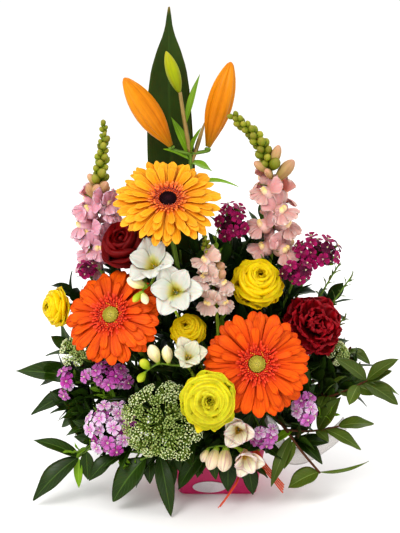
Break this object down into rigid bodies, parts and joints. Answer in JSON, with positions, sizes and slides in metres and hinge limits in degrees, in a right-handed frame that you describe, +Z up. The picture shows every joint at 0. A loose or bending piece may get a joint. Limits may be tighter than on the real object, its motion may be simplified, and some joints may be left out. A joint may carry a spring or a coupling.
{
  "type": "flower arrangement in a posy box",
  "caption": "Front-facing arrangement of gerberas, ranunculus, snapdragons, freesias, lily buds and leaves, standing in wet foam in a small square magenta box.",
  "frame": {"origin": "centre of the box's underside", "axes": "+Z up, the flowers face -Y, +X to the viewer's right"},
  "size_m": [0.3836, 0.2442, 0.4824],
  "materials": {
    "magenta_card": "satin magenta card",
    "clear_tray": "thin glossy tray",
    "silver_label": "silver grey foil",
    "wet_foam": "wet floral foam",
    "sheer_ribbon": "sheer grey white",
    "orange_raffia": "dyed raffia",
    "gold_petal": "soft petal",
    "orange_petal": "soft petal",
    "dark_eye": "velvet dark maroon",
    "lime_eye": "velvet yellow green",
    "green_stem": "satin stem",
    "yellow_petal": "soft petal",
    "red_petal": "soft petal",
    "lily_petal": "smooth closed bud",
    "snapdragon_petal": "soft petal",
    "cream_petal": "soft petal",
    "magenta_petal": "soft petal",
    "pink_petal": "soft petal",
    "lace_floret": "tiny pale green florets",
    "green_leaf": "glossy leaf"
  },
  "bodies": {
    "root": {"gift_box": "magenta_card", "box_liner": "clear_tray", "box_label": "silver_label", "floral_foam": "wet_foam", "ribbon_loop": "sheer_ribbon", "raffia_wide": "orange_raffia", "raffia_thin": "orange_raffia", "gerbera_yellow_petals": "gold_petal", "gerbera_yellow_eye": "dark_eye", "gerbera_yellow_stem": "green_stem", "gerbera_left_petals": "orange_petal", "gerbera_left_eye": "lime_eye", "gerbera_left_stem": "green_stem", "gerbera_right_petals": "orange_petal", "gerbera_right_eye": "lime_eye", "gerbera_right_stem": "green_stem", "ranunculus_right_bloom": "yellow_petal", "ranunculus_right_stem": "green_stem", "ranunculus_middle_bloom": "yellow_petal", "ranunculus_middle_stem": "green_stem", "ranunculus_low_bloom": "yellow_petal", "ranunculus_low_stem": "green_stem", "ranunculus_side_bloom": "yellow_petal", "ranunculus_side_stem": "green_stem", "ranunculus_red_bloom": "red_petal", "ranunculus_red_stem": "green_stem", "carnation_bloom": "red_petal", "carnation_stem": "green_stem", "lily_stem": "green_stem", "lily_bud_left": "lily_petal", "lily_bud_right": "lily_petal", "snapdragon_left": "snapdragon_petal", "snapdragon_right": "snapdragon_petal", "snapdragon_small": "snapdragon_petal", "freesia_top": "cream_petal", "freesia_middle": "cream_petal", "freesia_low": "cream_petal", "sweet_william_magenta_centre": "magenta_petal", "sweet_william_magenta_right_top": "magenta_petal", "sweet_william_magenta_right_low": "magenta_petal", "sweet_william_magenta_left": "magenta_petal", "sweet_william_pink_left_top": "pink_petal", "sweet_william_pink_left_mid": "pink_petal", "sweet_william_pink_left_low": "pink_petal", "sweet_william_pink_right_low": "pink_petal", "sweet_william_pink_right_top": "pink_petal", "lace_front": "lace_floret", "lace_left": "lace_floret", "lace_right": "lace_floret", "tall_leaf": "green_leaf", "foliage_left_top": "green_leaf", "foliage_left_low": "green_leaf", "foliage_front_left": "green_leaf", "foliage_front_right": "green_leaf", "foliage_right_top": "green_leaf", "foliage_right_low": "green_leaf", "foliage_inner_left": "green_leaf", "foliage_inner_right": "green_leaf", "foliage_back_left": "green_leaf", "foliage_back_right": "green_leaf"}
  },
  "joints": []
}
